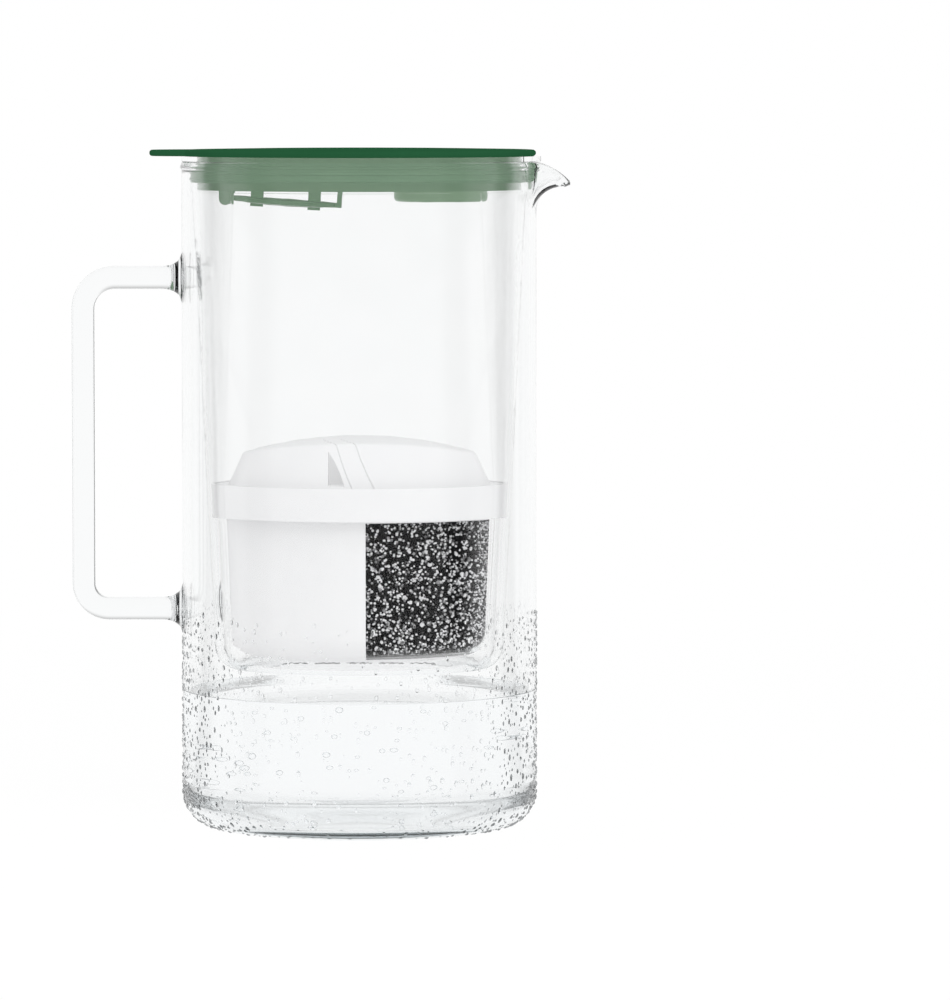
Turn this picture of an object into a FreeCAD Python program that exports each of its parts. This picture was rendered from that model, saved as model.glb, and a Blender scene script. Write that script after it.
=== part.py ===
import FreeCAD, Part
import math

# Water filter pitcher, millimetres. Origin at the centre of the base, +Z up,
# +X towards the pouring lip, handle on the -X side.

# Glass jug
jug_radius = 62.0
jug_wall = 2.4
jug_height = 232.6
jug_base = 5.0
jug_foot_round = 12.0
jug_floor_round = 9.0
rim_bead = 0.5
rim_bead_height = 3.2
rim_round = 0.6

# Pouring lip
lip_channel_radius = 15.0
lip_bend = 8.5
lip_run = 6.0
lip_drop = 9.0
lip_droop_inset = 3.5
lip_droop_radius = 18.4
lip_inset = 0.2

# Handle
rod_diameter = 8.0
handle_reach = 38.6
handle_top = 192.0
handle_bottom = 76.0
handle_bend_top = 11.0
handle_bend_bottom = 9.0
weld_diameter = 17.5
weld_length = 6.5
weld_gap = 0.08
weld_waist_along = 0.33
weld_waist_rise = 0.25

# Seal round the hopper neck
seal_height = 7.2
seal_root = 0.8
seal_lip = 0.5
seal_lips = 3
seal_lip_start = 0.3
seal_lip_tip = 0.6
seal_lip_end = 0.8
seal_fit = 0.05
seal_gap = 0.3

# Hopper
hopper_wall = 1.3
neck_wall = 1.2
flange_thickness = 1.8
flange_tongue = 1.6
flange_tongue_width = 28.0
shoulder_height = 3.2
shoulder_step = 0.4
hopper_bottom = 54.6
hopper_floor = 2.0
hopper_bottom_round = 9.0

# Oval pocket, measured outside at its mouth. Depth and end radius are shares of its length
pocket_mouth = 120.2
pocket_end_gap = 6.0
pocket_slimness = 0.683
pocket_end_share = 0.224
pocket_draft = 0.049
ledge_width = 1.8
outflow_slots = 5
outflow_slot_length = 9.0
outflow_slot_width = 3.0
outflow_slot_pitch = 11.0
outflow_row_offset = 11.0

# Filter cartridge
collar_gap = 0.3
collar_height = 11.6
collar_web = 1.6
shell_wall = 1.4
shell_inset = 6.0
shell_floor = 1.4
shell_bottom_round = 11.0
shell_foot_gap = 1.6
shell_slot_length = 7.0
shell_slot_width = 1.6
shell_slot_rows = 3
shell_slot_row_pitch = 7.4
window_start = 2.6
window_top_gap = 0.6
window_sill = 0.2
window_fit = 0.05
screen_thickness = 0.6
screen_fit = 0.2
media_fit = 0.25
media_head_gap = 0.4

# Cartridge cap
cap_fit = 0.1
cap_wall = 1.4
cap_rim_drop = 0.4
cap_rim = 1.6
cap_inset = 7.2
cap_side_slope = 0.5
cap_rise = 17.0
cap_crown_drop = 7.6
cap_edge_round = 2.0
recess_side = 10.3
recess_back = 15.0
recess_width = 5.7
recess_height = 11.8
recess_bulge = 0.6
recess_floor_rise = 0.8
seam_radius = 32.9
seam_spacing = 5.2
seam_x = 25.3
seam_y = -1.7
seam_end = 9.0
seam_width = 0.5
seam_depth = 0.6
inlet_slots = 4
inlet_slot_width = 1.2
inlet_slot_length = 6.0
inlet_slot_pitch = 4.0
inlet_offset = 28.0

# Lid
lid_inset = 0.2
lid_thickness = 2.2
lid_dome = 0.6
tab_reach = 11.4
tab_nose = 12.0
tab_root_half = 24.0
tab_round_share = 0.9
plug_gap = 0.3
plug_web = 1.6
plug_wall = 1.6
plug_depth = 11.6

# Refill well and flap. The well's radius is a share of the plug's
well_share = 0.2743
well_hinge_gap = 5.0
well_wall = 1.5
well_chamfer = 1.2
hinge_inset = 10.3
hinge_drop = 3.0
pin_diameter = 2.0
pin_overhang = 0.2
pin_running_gap = 0.06
lug_thickness = 2.0
lug_radius = 2.2
knuckle_radius = 2.0
knuckle_half = 5.7
lug_side_gap = 0.3
flap_overlap = 1.0
flap_thickness = 1.5
flap_top = 1.0
flap_dome = 0.8
flap_ajar = 4.0
fin_width = 4.4
fin_thickness = 1.6
fin_rise = 4.6
fin_drop = 0.7
fin_inset = 5.5
hook_gap = 1.1
hook_thickness = 1.6
hook_width = 9.0
hook_rise = 6.4

# Change reminder under the lid. Its place is a share of the plug's radius
reminder_share = 0.5044
housing_radius = 16.3
housing_wall = 1.4
housing_depth = 14.9
housing_round = 1.5
housing_fit = 0.1
socket_wall = 1.4
socket_depth = 5.0
gasket_thickness = 0.8
board_ledge = 1.7
board_height = 9.3
board_thickness = 1.2
board_fit = 0.15
cell_diameter = 20.0
cell_thickness = 3.2
cell_edge_round = 0.4
clip_thickness = 0.4
clip_width = 6.0
clip_overhang = 1.2
button_offset = -4.5
button_radius = 5.0
button_gap = 0.3
button_flange = 1.2
button_flange_thickness = 0.9
button_proud = 0.4
button_travel = 0.8
button_stop_gap = 0.15
switch_side = 6.0
switch_stem_radius = 1.5
lens_offset = 8.0
lens_radius = 2.0
lens_round = 0.5
lens_fit = 0.05
lens_flange = 0.9
lens_flange_thickness = 0.8
led_side = 2.4
led_height = 1.2
led_round = 0.6

# Sizes that follow from the values above
jug_inner = jug_radius - jug_wall
lip_droop_start = jug_radius - lip_droop_inset
neck_radius = jug_inner - seal_gap - seal_lip - seal_root
neck_bore = neck_radius - neck_wall
shoulder_radius = neck_radius + seal_root
funnel_radius = shoulder_radius - shoulder_step
flange_top = jug_height + flange_thickness
seal_bottom = jug_height - seal_height
funnel_top = seal_bottom - shoulder_height
pocket_length = 2 * (jug_inner - pocket_end_gap)
pocket_depth = pocket_length * pocket_slimness
pocket_end_radius = pocket_length * pocket_end_share
ledge_height = pocket_mouth - collar_height
hopper_floor_top = hopper_bottom + hopper_floor
shell_bottom = hopper_floor_top + shell_foot_gap
shell_floor_top = shell_bottom + shell_floor
collar_inset = hopper_wall + collar_gap
web_top = ledge_height + collar_web
cap_rim_top = pocket_mouth - cap_rim_drop
lid_radius = jug_radius - lid_inset
plug_radius = neck_bore - plug_gap
plug_top = flange_top - plug_web
plug_bottom = flange_top - plug_depth
well_radius = plug_radius * well_share
hinge_x = hinge_inset - plug_radius
hinge_z = plug_bottom - hinge_drop
well_x = hinge_x + well_hinge_gap + well_radius
flap_radius = well_radius + well_wall + flap_overlap
fin_spread = 2 * (well_radius - fin_inset)
rod_radius = rod_diameter / 2
pin_radius = pin_diameter / 2
reminder_x = plug_radius * reminder_share
housing_top = flange_top - gasket_thickness
housing_bottom = housing_top - housing_depth
board_bottom = housing_bottom + board_height
board_top = board_bottom + board_thickness
cell_bottom = board_bottom - cell_thickness
button_x = reminder_x + button_offset
button_bottom = flange_top - button_flange_thickness
switch_top = button_bottom - button_travel - button_stop_gap
lens_x = reminder_x + lens_offset

# Working values of the construction: how far cutting tools reach past the piece, and what counts as level
overshoot = 40.0
cut_margin = 1.0
level = 1e-4


def vec(x, y, z):
    return FreeCAD.Vector(x, y, z)


def line(start, end):
    return Part.LineSegment(start, end).toShape()


def arc(start, middle, end):
    return Part.Arc(start, middle, end).toShape()


def revolve(edges, base=vec(0, 0, 0), axis=vec(0, 0, 1)):
    return Part.Face(Part.Wire(edges)).revolve(base, axis, 360)


def turn(profile, x=0.0):
    """Solid of revolution about a vertical axis, from radius and height pairs."""
    points = [vec(x + radius, 0, height) for radius, height in profile]
    face = Part.Face(Part.makePolygon(points + points[:1]))
    return face.revolve(vec(x, 0, 0), vec(0, 0, 1), 360)


def disc(radius, bottom, top, x=0.0, y=0.0):
    return Part.makeCylinder(radius, top - bottom, vec(x, y, bottom))


def rod_y(radius, half_length, x, z):
    return Part.makeCylinder(radius, 2 * half_length, vec(x, -half_length, z), vec(0, 1, 0))


def block(low, high):
    size = high - low
    return Part.makeBox(size.x, size.y, size.z, low)


def corner(start, centre, end):
    """Quarter arc between two points of an XZ profile that are equally far from the centre."""
    radius = (start - centre).Length
    middle = (start - centre) + (end - centre)
    middle.normalize()
    return arc(start, centre + middle * radius, end)


def cap_sphere(radius, rise):
    """Radius of the sphere whose cap has this radius and rise."""
    return (radius ** 2 + rise ** 2) / (2 * rise)


def pocket_angle():
    """Angle at which the end arcs of the pocket's oval meet its side arcs."""
    end_x = pocket_length / 2 - pocket_end_radius
    half_depth = pocket_depth / 2
    side = (end_x ** 2 + half_depth ** 2 - pocket_end_radius ** 2) / (2 * (half_depth - pocket_end_radius))
    return math.atan2(side - half_depth, end_x)


def four_arcs(half_length, half_depth, diagonal, shoulder, z):
    """Closed outline of four arcs through its axis ends and its four joining points."""
    right = vec(half_length, 0, z)
    back = vec(0, half_depth, z)
    left = vec(-half_length, 0, z)
    front = vec(0, -half_depth, z)
    right_back = vec(diagonal, shoulder, z)
    left_back = vec(-diagonal, shoulder, z)
    left_front = vec(-diagonal, -shoulder, z)
    right_front = vec(diagonal, -shoulder, z)
    edges = [
        arc(right_front, right, right_back),
        arc(right_back, back, left_back),
        arc(left_back, left, left_front),
        arc(left_front, front, right_front),
    ]
    return Part.Wire(edges)


def oval(inset, z):
    """The pocket's oval at a height, drawn in by its draft and by an inset."""
    inset = inset + (pocket_mouth - z) * pocket_draft
    end_radius = pocket_end_radius - inset
    end_x = pocket_length / 2 - pocket_end_radius
    diagonal = end_x + end_radius * math.cos(pocket_angle())
    shoulder = end_radius * math.sin(pocket_angle())
    return four_arcs(pocket_length / 2 - inset, pocket_depth / 2 - inset, diagonal, shoulder, z)


def round_outline(radius, z):
    diagonal = radius * math.cos(pocket_angle())
    shoulder = radius * math.sin(pocket_angle())
    return four_arcs(radius, radius, diagonal, shoulder, z)


def loft(outlines):
    return Part.makeLoft(outlines, True, True)


def oval_block(inset, bottom, top):
    return loft([oval(inset, bottom), oval(inset, top)])


def edges_at(shape, z):
    """Edges that lie wholly at one height."""
    return [edge for edge in shape.Edges
            if abs(edge.BoundBox.ZMin - z) < level and abs(edge.BoundBox.ZMax - z) < level]


def oval_cup(inset, bottom, top, bottom_round):
    solid = oval_block(inset, bottom, top)
    return solid.makeFillet(bottom_round, edges_at(solid, bottom))


def slot(length, width, bottom, top, x, y):
    """Slot along X with round ends."""
    straight = (length - width) / 2
    body = block(vec(x - straight, y - width / 2, bottom), vec(x + straight, y + width / 2, top))
    ends = [disc(width / 2, bottom, top, x + side * straight, y) for side in (-1, 1)]
    return body.multiFuse(ends)


def centred(count, pitch):
    return [(index - (count - 1) / 2) * pitch for index in range(count)]


def save(name, shape):
    shape = shape.removeSplitter()
    shape.exportStep("parts/" + name + ".step")
    print(name, "solids", len(shape.Solids), "valid", shape.isValid(), "volume", round(shape.Volume, 1))


# Glass jug with its pulled lip
def lip_core(radius):
    """Round channel that bends from upright inside the wall to level at the lip."""
    sweep = lip_bend + lip_channel_radius
    start = vec(jug_radius - lip_inset - lip_channel_radius, 0, jug_height - lip_drop - lip_bend)
    pivot = start + vec(sweep, 0, 0)
    section = Part.Face(Part.Wire(Part.makeCircle(radius, start, vec(0, 0, 1))))
    bend = section.revolve(pivot, vec(0, 1, 0), 90)
    run = Part.makeCylinder(radius, lip_run, pivot + vec(0, 0, sweep), vec(1, 0, 0))
    return bend.fuse(run)


def lip_droop():
    """What is taken off above the lip, so that its edge falls in an arc to the tip."""
    low = jug_height - lip_droop_radius
    above = block(vec(lip_droop_start, -overshoot, low),
                  vec(lip_droop_start + overshoot, overshoot, jug_height + overshoot))
    return above.cut(rod_y(lip_droop_radius, overshoot, lip_droop_start, low))


def jug_outside():
    foot = jug_foot_round
    bead_low = vec(jug_radius, 0, jug_height - rim_bead_height)
    bead_out = vec(jug_radius + rim_bead, 0, jug_height - rim_bead_height / 2)
    rim = vec(jug_radius - rim_bead, 0, jug_height)
    base_edge = vec(jug_radius - foot, 0, 0)
    wall_foot = vec(jug_radius, 0, foot)
    edges = [
        line(vec(0, 0, 0), base_edge),
        corner(base_edge, vec(jug_radius - foot, 0, foot), wall_foot),
        line(wall_foot, bead_low),
        arc(bead_low, bead_out, rim),
        line(rim, vec(0, 0, jug_height)),
        line(vec(0, 0, jug_height), vec(0, 0, 0)),
    ]
    return revolve(edges)


def jug_inside():
    bend = jug_floor_round
    floor_edge = vec(jug_inner - bend, 0, jug_base)
    wall_low = vec(jug_inner, 0, jug_base + bend)
    wall_top = vec(jug_inner, 0, jug_height - rim_round)
    rim = vec(jug_inner + rim_round, 0, jug_height)
    above = vec(jug_inner + rim_round, 0, jug_height + overshoot)
    edges = [
        line(vec(0, 0, jug_base), floor_edge),
        corner(floor_edge, vec(jug_inner - bend, 0, jug_base + bend), wall_low),
        line(wall_low, wall_top),
        corner(wall_top, vec(jug_inner + rim_round, 0, jug_height - rim_round), rim),
        line(rim, above),
        line(above, vec(0, 0, jug_height + overshoot)),
        line(vec(0, 0, jug_height + overshoot), vec(0, 0, jug_base)),
    ]
    return revolve(edges)


def glass_jug():
    above_rim = disc(2 * jug_radius, jug_height, jug_height + overshoot)
    body = jug_outside().fuse(lip_core(lip_channel_radius).cut(above_rim))
    hollow = jug_inside().fuse(lip_core(lip_channel_radius - jug_wall))
    return body.cut(hollow).cut(lip_droop())


# Bent glass rod handle
def handle_weld(z):
    """Flare that spreads the rod's end on the wall, turned about the arm."""
    wall_x = -jug_radius + jug_wall
    neck = vec(-jug_radius - weld_length, 0, z + rod_radius)
    foot = vec(-jug_radius, 0, z + weld_diameter / 2)
    flare = weld_diameter / 2 - rod_radius
    hollow = vec(-jug_radius - weld_length * weld_waist_along, 0, z + rod_radius + flare * weld_waist_rise)
    end = vec(wall_x, 0, z + weld_diameter / 2)
    edges = [
        line(vec(neck.x, 0, z), neck),
        arc(neck, hollow, foot),
        line(foot, end),
        line(end, vec(wall_x, 0, z)),
        line(vec(wall_x, 0, z), vec(neck.x, 0, z)),
    ]
    return revolve(edges, vec(0, 0, z), vec(1, 0, 0))


def glass_handle():
    grip_x = -jug_radius - handle_reach + rod_radius
    wall_x = -jug_radius + jug_wall
    top_arm = vec(grip_x + handle_bend_top, 0, handle_top)
    top_grip = vec(grip_x, 0, handle_top - handle_bend_top)
    low_grip = vec(grip_x, 0, handle_bottom + handle_bend_bottom)
    low_arm = vec(grip_x + handle_bend_bottom, 0, handle_bottom)
    path = Part.Wire([
        line(vec(wall_x, 0, handle_top), top_arm),
        corner(top_arm, vec(top_arm.x, 0, top_grip.z), top_grip),
        line(top_grip, low_grip),
        corner(low_grip, vec(low_arm.x, 0, low_grip.z), low_arm),
        line(low_arm, vec(wall_x, 0, handle_bottom)),
    ])
    section = Part.Wire(Part.makeCircle(rod_radius, vec(wall_x, 0, handle_top), vec(1, 0, 0)))
    rod = path.makePipeShell([section], True, False)
    welded = rod.multiFuse([handle_weld(handle_top), handle_weld(handle_bottom)])
    return welded.cut(disc(jug_radius + weld_gap, 0, jug_height))


# Clear hopper and its seal
def hopper():
    tongue = disc(jug_radius + flange_tongue, jug_height, flange_top).common(
        block(vec(0, -flange_tongue_width / 2, jug_height),
              vec(2 * jug_radius, flange_tongue_width / 2, flange_top)))
    outside = disc(jug_radius, jug_height, flange_top).multiFuse([
        tongue,
        disc(neck_radius, seal_bottom, jug_height),
        disc(shoulder_radius, funnel_top, seal_bottom),
        loft([oval(0, pocket_mouth), round_outline(funnel_radius, funnel_top)]),
        oval_cup(0, hopper_bottom, pocket_mouth, hopper_bottom_round),
    ])
    inside = disc(neck_bore, funnel_top, flange_top + overshoot).multiFuse([
        loft([oval(hopper_wall, pocket_mouth), round_outline(neck_bore, funnel_top)]),
        oval_block(hopper_wall, ledge_height, pocket_mouth),
        oval_cup(hopper_wall + ledge_width, hopper_floor_top, ledge_height,
                 hopper_bottom_round - hopper_wall),
    ])
    body = outside.cut(inside)
    slots = [slot(outflow_slot_length, outflow_slot_width, hopper_bottom - cut_margin,
                  hopper_floor_top + cut_margin, x, y)
             for x in centred(outflow_slots, outflow_slot_pitch)
             for y in (-outflow_row_offset, outflow_row_offset)]
    return body.cut(Part.makeCompound(slots))


def hopper_seal():
    root = neck_radius + seal_root
    pitch = seal_height / seal_lips
    profile = [(neck_radius + seal_fit, jug_height), (root, jug_height)]
    for index in range(seal_lips):
        top = jug_height - index * pitch
        profile.append((root, top - pitch * seal_lip_start))
        profile.append((root + seal_lip, top - pitch * seal_lip_tip))
        profile.append((root, top - pitch * seal_lip_end))
    profile.append((root, seal_bottom))
    profile.append((neck_radius + seal_fit, seal_bottom))
    return turn(profile)


# Filter cartridge
def shell_cup():
    outside = oval_block(collar_inset, ledge_height, pocket_mouth).fuse(
        oval_cup(shell_inset, shell_bottom, ledge_height, shell_bottom_round))
    inside = oval_block(collar_inset + shell_wall, web_top, pocket_mouth).fuse(
        oval_cup(shell_inset + shell_wall, shell_floor_top, web_top, shell_bottom_round - shell_wall))
    return outside.cut(inside)


def window_field(fit):
    return block(vec(window_start + fit, -overshoot, shell_floor_top + window_sill + fit),
                 vec(2 * overshoot, -fit, ledge_height - window_top_gap - fit))


def cartridge_shell():
    body = shell_cup().cut(window_field(0))
    slots = [slot(shell_slot_length, shell_slot_width, shell_bottom - cut_margin,
                  shell_floor_top + cut_margin, x, y)
             for x in centred(outflow_slots, outflow_slot_pitch)
             for y in centred(shell_slot_rows, shell_slot_row_pitch)]
    return body.cut(Part.makeCompound(slots))


def cartridge_window():
    return shell_cup().common(window_field(window_fit))


def outlet_screen():
    inset = shell_inset + shell_bottom_round + screen_fit
    return oval_block(inset, shell_floor_top, shell_floor_top + screen_thickness)


def inlet_screen():
    inset = collar_inset + shell_wall + cap_fit + cap_wall + screen_fit
    return oval_block(inset, web_top, web_top + screen_thickness)


def filter_media():
    bottom = shell_floor_top + screen_thickness
    return oval_cup(shell_inset + shell_wall + media_fit, bottom, web_top - media_head_gap,
                    shell_bottom_round - shell_wall)


def cap_form(inset, lower):
    """Skirt that stands on the shell's step, and the dome over it, drawn in on all sides."""
    skirt = oval_block(collar_inset + shell_wall + cap_fit + inset, web_top, cap_rim_top - lower)
    top_inset = cap_inset + cap_side_slope * (cap_rise + cap_rim)
    sides = loft([
        oval(cap_inset + inset, cap_rim_top - cap_rim),
        oval(top_inset + inset, cap_rim_top + cap_rise),
    ])
    radius = cap_sphere(pocket_length / 2 - cap_inset, cap_crown_drop)
    crown = Part.makeSphere(radius, vec(0, 0, cap_rim_top + cap_rise - lower - radius))
    return skirt, sides.common(crown)


def with_half_turn(shape):
    """The shape and its copy half a turn on, since the cartridge fits either way round."""
    other = shape.copy()
    other.rotate(vec(0, 0, 0), vec(0, 0, 1), 180)
    return shape.fuse(other)


def finger_recess(grow):
    """The finger recesses on both sides of the grip, upright on one side and leaning over on the other."""
    floor = cap_rim_top + recess_floor_rise
    outer = vec(-recess_side - grow, -overshoot, floor - grow)
    inner = vec(-recess_side + recess_width + grow, -overshoot, floor - grow)
    peak = vec(outer.x, -overshoot, floor + recess_height + grow)
    lean = (inner + peak) * 0.5
    across = vec(recess_height, 0, recess_width)
    across.normalize()
    slant = arc(inner, lean + across * recess_bulge, peak)
    outline = Part.Wire([line(outer, inner), slant, line(peak, outer)])
    depth = overshoot - recess_back + grow
    return with_half_turn(Part.Face(outline).extrude(vec(0, depth, 0)))


def grip_seams():
    """Two fine grooves that curve back over the grip from its front, to their depth below the dome."""
    core = cap_form(seam_depth, seam_depth)[1]
    rings = [disc(radius + seam_width, cap_rim_top, cap_rim_top + overshoot, seam_x, seam_y).cut(
        disc(radius, cap_rim_top, cap_rim_top + overshoot, seam_x, seam_y))
        for radius in (seam_radius, seam_radius + seam_spacing)]
    front = block(vec(-overshoot, -overshoot, cap_rim_top), vec(seam_x, -seam_end, cap_rim_top + overshoot))
    return with_half_turn(rings[0].fuse(rings[1]).common(front)).cut(core)


def cartridge_cap():
    skirt, dome = cap_form(0, 0)
    upper_half = cap_rim_top + cap_rise / 2
    shoulder = [edge for edge in dome.Edges if edge.BoundBox.ZMin > upper_half and edge.Length > seam_spacing]
    dome = dome.makeFillet(cap_edge_round, shoulder).cut(finger_recess(0)).cut(grip_seams())
    skirt_inside, dome_inside = cap_form(cap_wall, cap_wall)
    hollow = skirt_inside.fuse(dome_inside.cut(finger_recess(cap_wall)))
    slots = [slot(inlet_slot_length, inlet_slot_width, upper_half, cap_rim_top + cap_rise + cut_margin,
                  side * inlet_offset, y)
             for side in (-1, 1)
             for y in centred(inlet_slots, inlet_slot_pitch)]
    return skirt.fuse(dome).cut(hollow).cut(Part.makeCompound(slots))


# Lid
def lid_plate():
    edge = lid_thickness / 2
    low = flange_top
    high = low + lid_thickness
    rim = vec(lid_radius - edge, 0, high)
    plate = revolve([
        line(vec(0, 0, low), vec(rim.x, 0, low)),
        arc(vec(rim.x, 0, low), vec(lid_radius, 0, low + edge), rim),
        line(rim, vec(0, 0, high)),
        line(vec(0, 0, high), vec(0, 0, low)),
    ])
    sphere = cap_sphere(rim.x, lid_dome)
    dome = Part.makeSphere(sphere, vec(0, 0, high + lid_dome - sphere))
    plate = plate.fuse(dome.common(disc(rim.x, high, high + 2 * lid_dome)))
    nose = vec(-lid_radius - tab_reach, 0, low)
    centre = nose + vec(tab_nose, 0, 0)
    root = vec(-lid_radius + tab_root_half, tab_root_half, low)
    reach = root - centre
    lean = math.atan2(reach.y, reach.x) + math.acos(tab_nose / reach.Length)
    touch = centre + vec(math.cos(lean), math.sin(lean), 0) * tab_nose
    touch_front = vec(touch.x, -touch.y, low)
    root_front = vec(root.x, -root.y, low)
    outline = Part.Wire([
        line(root, touch),
        arc(touch, nose, touch_front),
        line(touch_front, root_front),
        line(root_front, root),
    ])
    tab = Part.Face(outline).extrude(vec(0, 0, lid_thickness))
    outer = [e for e in tab.Edges
             if e.BoundBox.ZLength < level and e.BoundBox.XMin < root.x - level]
    tab = tab.makeFillet(edge * tab_round_share, outer)
    body = plate.fuse(tab)
    top = high + lid_dome + cut_margin
    bottom = low - cut_margin
    well_edge = turn([
        (0, high - well_chamfer),
        (well_radius, high - well_chamfer),
        (well_radius + 2 * well_chamfer, high + well_chamfer),
        (0, high + well_chamfer),
    ], well_x)
    holes = [
        disc(well_radius, bottom, top, well_x),
        well_edge,
        disc(button_radius + button_gap, bottom, top, button_x),
        disc(lens_radius + lens_fit, bottom, top, lens_x),
    ]
    return body.cut(Part.makeCompound(holes[:2])).cut(Part.makeCompound(holes[2:]))


def hinge_lugs():
    inner = knuckle_half + lug_side_gap
    lugs = []
    for side in (-1, 1):
        near = side * inner
        far = side * (inner + lug_thickness)
        low_y = min(near, far)
        web = block(vec(hinge_x - lug_radius, low_y, hinge_z),
                    vec(hinge_x + lug_radius, low_y + lug_thickness, plug_top))
        eye = Part.makeCylinder(lug_radius, lug_thickness, vec(hinge_x, low_y, hinge_z), vec(0, 1, 0))
        lugs.append(web.fuse(eye))
    return lugs


def lid_plug():
    skirt = disc(plug_radius, plug_bottom, flange_top).cut(
        disc(plug_radius - plug_wall, plug_bottom, plug_top))
    socket_radius = housing_radius + housing_fit
    outside = skirt.multiFuse([
        disc(well_radius + well_wall, plug_bottom, plug_top, well_x),
        disc(socket_radius + socket_wall, plug_top - socket_depth, plug_top, reminder_x),
    ] + hinge_lugs())
    holes = [
        disc(well_radius, plug_bottom - cut_margin, flange_top + cut_margin, well_x),
        disc(socket_radius, plug_top - socket_depth - cut_margin, flange_top + cut_margin, reminder_x),
        rod_y(pin_radius, overshoot / 2, hinge_x, hinge_z),
    ]
    return outside.cut(Part.makeCompound(holes))


def flap_hinge_pin():
    half = knuckle_half + lug_side_gap + lug_thickness + pin_overhang
    return rod_y(pin_radius, half, hinge_x, hinge_z)


def refill_flap():
    """Modelled about its hinge at the origin, then tilted ajar and moved to the hinge."""
    centre = well_x - hinge_x
    bottom = flap_top - flap_thickness
    plate = disc(flap_radius, bottom, flap_top, centre)
    sphere = cap_sphere(flap_radius, flap_dome)
    belly = Part.makeSphere(sphere, vec(centre, 0, bottom - flap_dome + sphere)).common(
        disc(flap_radius, bottom - 2 * flap_dome, bottom, centre))
    arm = block(vec(0, -knuckle_half, bottom), vec(centre, knuckle_half, flap_top))
    pieces = [belly, arm, rod_y(knuckle_radius, knuckle_half, 0, 0)]
    for side in (-1, 1):
        x = centre + side * fin_spread / 2
        pieces.append(block(vec(x - fin_width / 2, -fin_thickness / 2, bottom - flap_dome - fin_drop),
                            vec(x + fin_width / 2, fin_thickness / 2, flap_top + fin_rise)))
    hook_x = centre + well_radius + well_wall + hook_gap
    hook = block(vec(hook_x, -hook_width / 2, bottom),
                 vec(hook_x + hook_thickness, hook_width / 2, flap_top + hook_rise))
    bridge = block(vec(centre, -hook_width / 2, bottom),
                   vec(hook_x + hook_thickness, hook_width / 2, flap_top))
    pieces.extend([hook, bridge])
    flap = plate.multiFuse(pieces).cut(rod_y(pin_radius + pin_running_gap, overshoot / 2, 0, 0))
    flap.rotate(vec(0, 0, 0), vec(0, 1, 0), flap_ajar)
    flap.translate(vec(hinge_x, 0, hinge_z))
    return flap


# Change reminder
def indicator_housing():
    outside = disc(housing_radius, housing_bottom, housing_top, reminder_x)
    outside = outside.makeFillet(housing_round, edges_at(outside, housing_bottom))
    bore = housing_radius - housing_wall
    inside = disc(bore, board_bottom, housing_top, reminder_x).fuse(
        disc(bore - board_ledge, housing_bottom + housing_wall, board_bottom, reminder_x))
    return outside.cut(inside)


def indicator_gasket():
    ring = disc(housing_radius, housing_top, flange_top, reminder_x)
    return ring.cut(disc(housing_radius - housing_wall, housing_top, flange_top, reminder_x))


def indicator_board():
    return disc(housing_radius - housing_wall - board_fit, board_bottom, board_top, reminder_x)


def push_switch():
    half = switch_side / 2
    middle = (board_top + switch_top) / 2
    base = block(vec(button_x - half, -half, board_top), vec(button_x + half, half, middle))
    return base.fuse(disc(switch_stem_radius, middle, switch_top, button_x))


def status_led():
    half = led_side / 2
    body = block(vec(lens_x - half, -half, board_top), vec(lens_x + half, half, board_top + led_height))
    return body.makeFillet(led_round, [e for e in body.Edges if e.BoundBox.ZLength > led_height / 2])


def coin_cell():
    can = disc(cell_diameter / 2, cell_bottom, board_bottom, reminder_x)
    return can.makeFillet(cell_edge_round, edges_at(can, cell_bottom))


def cell_clip():
    """Spring strap under the cell, with upright ends that stand on the board's underside."""
    half_width = clip_width / 2
    reach = cell_diameter / 2 + clip_overhang
    low = cell_bottom - clip_thickness
    strap = block(vec(reminder_x - reach, -half_width, low), vec(reminder_x + reach, half_width, cell_bottom))
    legs = []
    for side in (-1, 1):
        outer = reminder_x + side * reach
        inner = outer - side * clip_thickness
        legs.append(block(vec(min(outer, inner), -half_width, low),
                          vec(max(outer, inner), half_width, board_bottom)))
    return strap.multiFuse(legs)


def indicator_lens():
    top = flange_top + lid_thickness
    pipe = disc(lens_radius, board_top + led_height, top, lens_x)
    pipe = pipe.makeFillet(lens_round, edges_at(pipe, top))
    flange = disc(lens_radius + lens_flange, flange_top - lens_flange_thickness, flange_top, lens_x)
    return pipe.fuse(flange)


def reset_button():
    top = flange_top + lid_thickness + button_proud
    cap = disc(button_radius, flange_top, top, button_x)
    cap = cap.makeFillet(button_proud, edges_at(cap, top))
    flange = disc(button_radius + button_flange, button_bottom, flange_top, button_x)
    return cap.fuse(flange)


makers = [
    glass_jug, glass_handle, hopper, hopper_seal,
    cartridge_shell, cartridge_cap, cartridge_window, filter_media, inlet_screen, outlet_screen,
    lid_plate, lid_plug, flap_hinge_pin, refill_flap,
    indicator_housing, indicator_gasket, indicator_board, push_switch, status_led, coin_cell, cell_clip,
    indicator_lens, reset_button,
]
for maker in makers:
    save(maker.__name__, maker())
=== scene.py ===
import math
import random

import bmesh
import bpy
from mathutils import Matrix, Vector


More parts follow.
